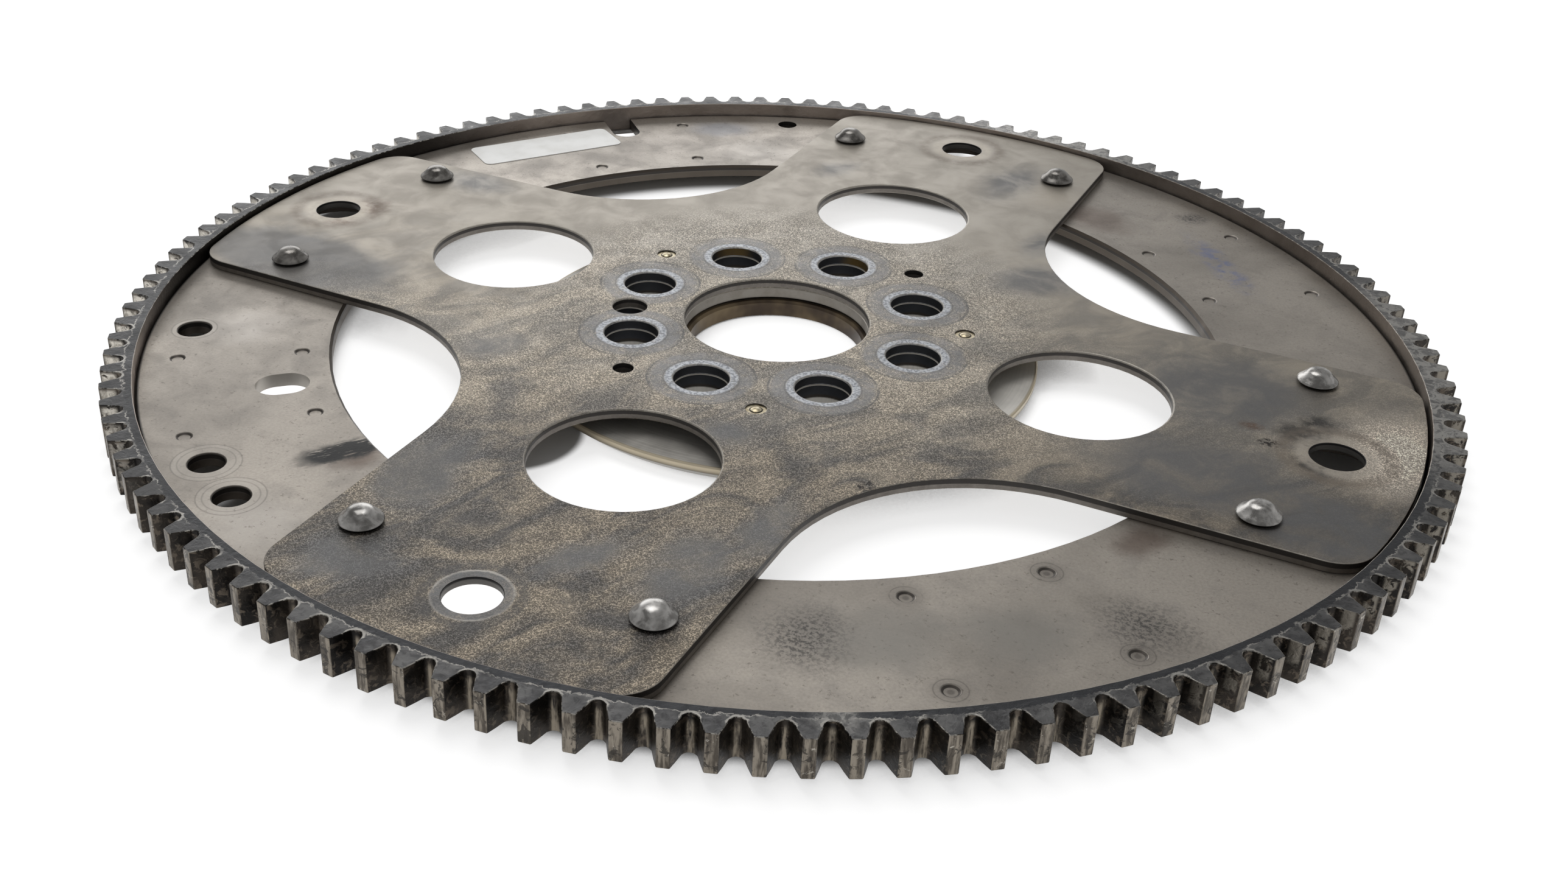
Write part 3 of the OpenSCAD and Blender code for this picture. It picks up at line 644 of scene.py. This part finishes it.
halo = times(tree, band(tree, lug, 0.0083, 0.0106, 0.0007), fade(tree, rubbed, 0.35, 0.6, 0.2, 0.65))
colour = lay(tree, times(tree, halo, near_arm), colour, (0.075, 0.073, 0.072, 1))
seat = times(tree, band(tree, lug, 0.0050, 0.0078, 0.0002), fade(tree, rubbed, 0.3, 0.6, 0.95, 0.6))
colour = lay(tree, times(tree, seat, near_arm), colour, (0.15, 0.15, 0.152, 1))
lip_at = calc(tree, "ADD", lug, times(tree, calc(tree, "SUBTRACT", rubbed, 0.5), 0.0009))
lip = times(tree, band(tree, lip_at, 0.0076, 0.0081, 0.0002), fade(tree, patch, 0.3, 0.55, 0.9, 0.3))
colour = lay(tree, times(tree, lip, near_arm), colour, (0.4, 0.38, 0.345, 1))
# the punched edge: rolled and rubbed above with a painted highlight, a smooth sheared band painted black as a
# painted dark reflection, then torn grey
torn = times(tree, faces["Wall"], fade(tree, faces["Height"], 0.52, 0.44))
shorn_dark_reflection = times(tree, faces["Wall"], fade(tree, faces["Height"], 0.44, 0.52))
colour = lay(tree, torn, colour, lay(tree, rubbed, (0.12, 0.105, 0.092, 1), (0.27, 0.25, 0.225, 1)))
colour = lay(tree, shorn_dark_reflection, colour, (0.05, 0.046, 0.043, 1))
in_bolt_hole = times(tree, faces["Wall"], fade(tree, bolt, 0.0070, 0.0066))
dried = stain_mask(tree, place, [(polar(40, 131.8), 6, 1.0, 0, 6, 0.8), (polar(41, 84.0), 6, 1.0, 0, 6, 0.8)])
colour = lay(tree, in_bolt_hole, colour, lay(tree, dried, (0.035, 0.037, 0.042, 1), (0.16, 0.105, 0.035, 1)))
# the rolled edge is lighter where rubbed, partly a painted highlight
rolled = times(tree, faces["Rolled"], fade(tree, rubbed, 0.35, 0.6, 0.3, 0.75))
colour = lay(tree, rolled, colour, (0.38, 0.355, 0.315, 1))
# painted shade: the upper part of the converter bolt holes' walls is near black, the lower part grey
lug_wall = times(tree, fade(tree, faces["Up"], 0.6, 0.1), fade(tree, lug, 0.0068, 0.0064))
lug_wall_painted_shade = lay(tree, fade(tree, faces["Height"], 0.72, 0.86),
                (0.16, 0.153, 0.143, 1), (0.028, 0.027, 0.027, 1))
colour = lay(tree, lug_wall, colour, lug_wall_painted_shade)
surface(tree, shader, colour, fade(tree, patch, 0.3, 0.7, 0.4, 0.54),
        times(tree, worms, grainy), 0.00006, 0.4)
cross = eased_copy("cross_plate", "cross", 0.0005, 3)
cross.data.materials.append(cross_steel)


# Arm rivets: two steel rivets in the end of each arm, upset to a cone with a rounded cap.
# They are bright where the tool pressed them, darker behind and on the left, with painted shade under their
# rims.
rivet_steel, tree, shader, place, normal = steel("rivet_steel", 0.95, 0.3)
cloud = noise(tree, place, 0.003, 5.0, 0.6, 0.4)
spread = add(tree, "SeparateXYZ", None, {0: place}).outputs
colour = lay(tree, fade(tree, cloud, 0.35, 0.65), (0.2, 0.193, 0.183, 1), (0.5, 0.487, 0.468, 1))
# the rivets are darker towards the back and the left
away_from_front = calc(tree, "SUBTRACT", spread["Y"], times(tree, spread["X"], 0.9))
darker_behind = fade(tree, away_from_front, -0.03, 0.05, 0.0, 0.8)
dark_tone = lay(tree, fade(tree, cloud, 0.35, 0.65), (0.07, 0.064, 0.057, 1), (0.19, 0.178, 0.162, 1))
colour = lay(tree, darker_behind, colour, dark_tone)
# painted shade: near black under the head's rim and on its neck
colour = lay(tree, fade(tree, spread["Z"], 0.0107, 0.0102), colour, (0.03, 0.028, 0.026, 1))
surface(tree, shader, colour, fade(tree, cloud, 0.3, 0.7, 0.2, 0.36))
rivet_at, rivet_half = 0.122, 0.0325
# half outline in millimetres, from the middle of the tail to the top of the cap
profile = [(0.0, 2.0), (3.3, 2.0), (3.85, 2.2), (4.5, 2.85), (4.65, 3.2), (4.65, 4.0), (3.5, 4.0), (3.5, 9.7),
           (4.15, 9.7), (4.2, 9.95), (4.2, 10.15), (4.45, 10.2), (4.6, 10.3), (4.65, 10.42), (4.6, 10.55),
           (4.3, 10.85), (3.75, 11.3), (3.3, 11.72), (3.02, 12.05), (2.86, 12.2), (2.7, 12.42), (2.35, 12.68),
           (1.85, 12.93), (1.25, 13.1), (0.62, 13.18), (0.0, 13.2)]
heads = bmesh.new()
for quarter in range(4):
    for side in (-1, 1):
        turn = Matrix.Rotation(math.radians(90 * quarter), 4, "Z")
        spot = turn @ Vector((rivet_at, side * rivet_half, 0))
        rim = [heads.verts.new((spot.x + r / 1000, spot.y, z / 1000)) for r, z in profile]
        lines = [heads.edges.new(pair) for pair in zip(rim, rim[1:])]
        bmesh.ops.spin(heads, geom=rim + lines, cent=spot, axis=(0, 0, 1), angle=math.tau, steps=48,
                       use_merge=True)
bmesh.ops.remove_doubles(heads, verts=heads.verts, dist=1e-6)
bmesh.ops.recalc_face_normals(heads, faces=heads.faces)
for face in heads.faces:
    face.smooth = True
rivets = bpy.data.objects.new("arm_rivet_set", bpy.data.meshes.new("arm_rivet_set"))
heads.to_mesh(rivets.data)
heads.free()
rivets.data.set_sharp_from_angle(angle=math.radians(42))
scene.collection.objects.link(rivets)
rivets.data.materials.append(rivet_steel)
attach(rivets, "root")
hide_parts("arm_rivets")


# Hub rivets: three small rivets that hold the hub stack together, with a nub in the middle of each.
# They are passivated yellow, with a dark ring round each nub.
pin_circle, pin_turn = 0.0454, 19.3
rivet_brass, tree, shader, place, normal = steel("rivet_brass", 0.95, 0.32)
cloud = noise(tree, place, 0.0012, 4.0, 0.6)
pin = from_holes(tree, place, pin_circle, 8.0, pin_turn)
colour = lay(tree, fade(tree, cloud, 0.35, 0.65), (0.36, 0.3, 0.19, 1), (0.62, 0.55, 0.4, 1))
colour = lay(tree, band(tree, pin, 0.00125, 0.00155, 0.0001), colour, (0.03, 0.026, 0.02, 1))
surface(tree, shader, colour, fade(tree, cloud, 0.3, 0.7, 0.25, 0.4))
dress("hub_rivets", rivet_brass)


# Label: a strip of white paper stuck on the ring plate, left blank.
# It is matt, with faint grey clouds where it has been rubbed.
label_paper, tree, shader, place, normal = steel("label_paper", 0.0, 0.55)
cloud = noise(tree, place, 0.008, 5.0, 0.6)
fibre = noise(tree, place, 0.0005, 2.0)
colour = lay(tree, fade(tree, cloud, 0.35, 0.75), (0.93, 0.93, 0.91, 1), (0.84, 0.835, 0.805, 1))
surface(tree, shader, colour, fade(tree, cloud, 0.3, 0.7, 0.5, 0.65), fibre, 0.00003, 0.2)
dress("paper_label", label_paper)
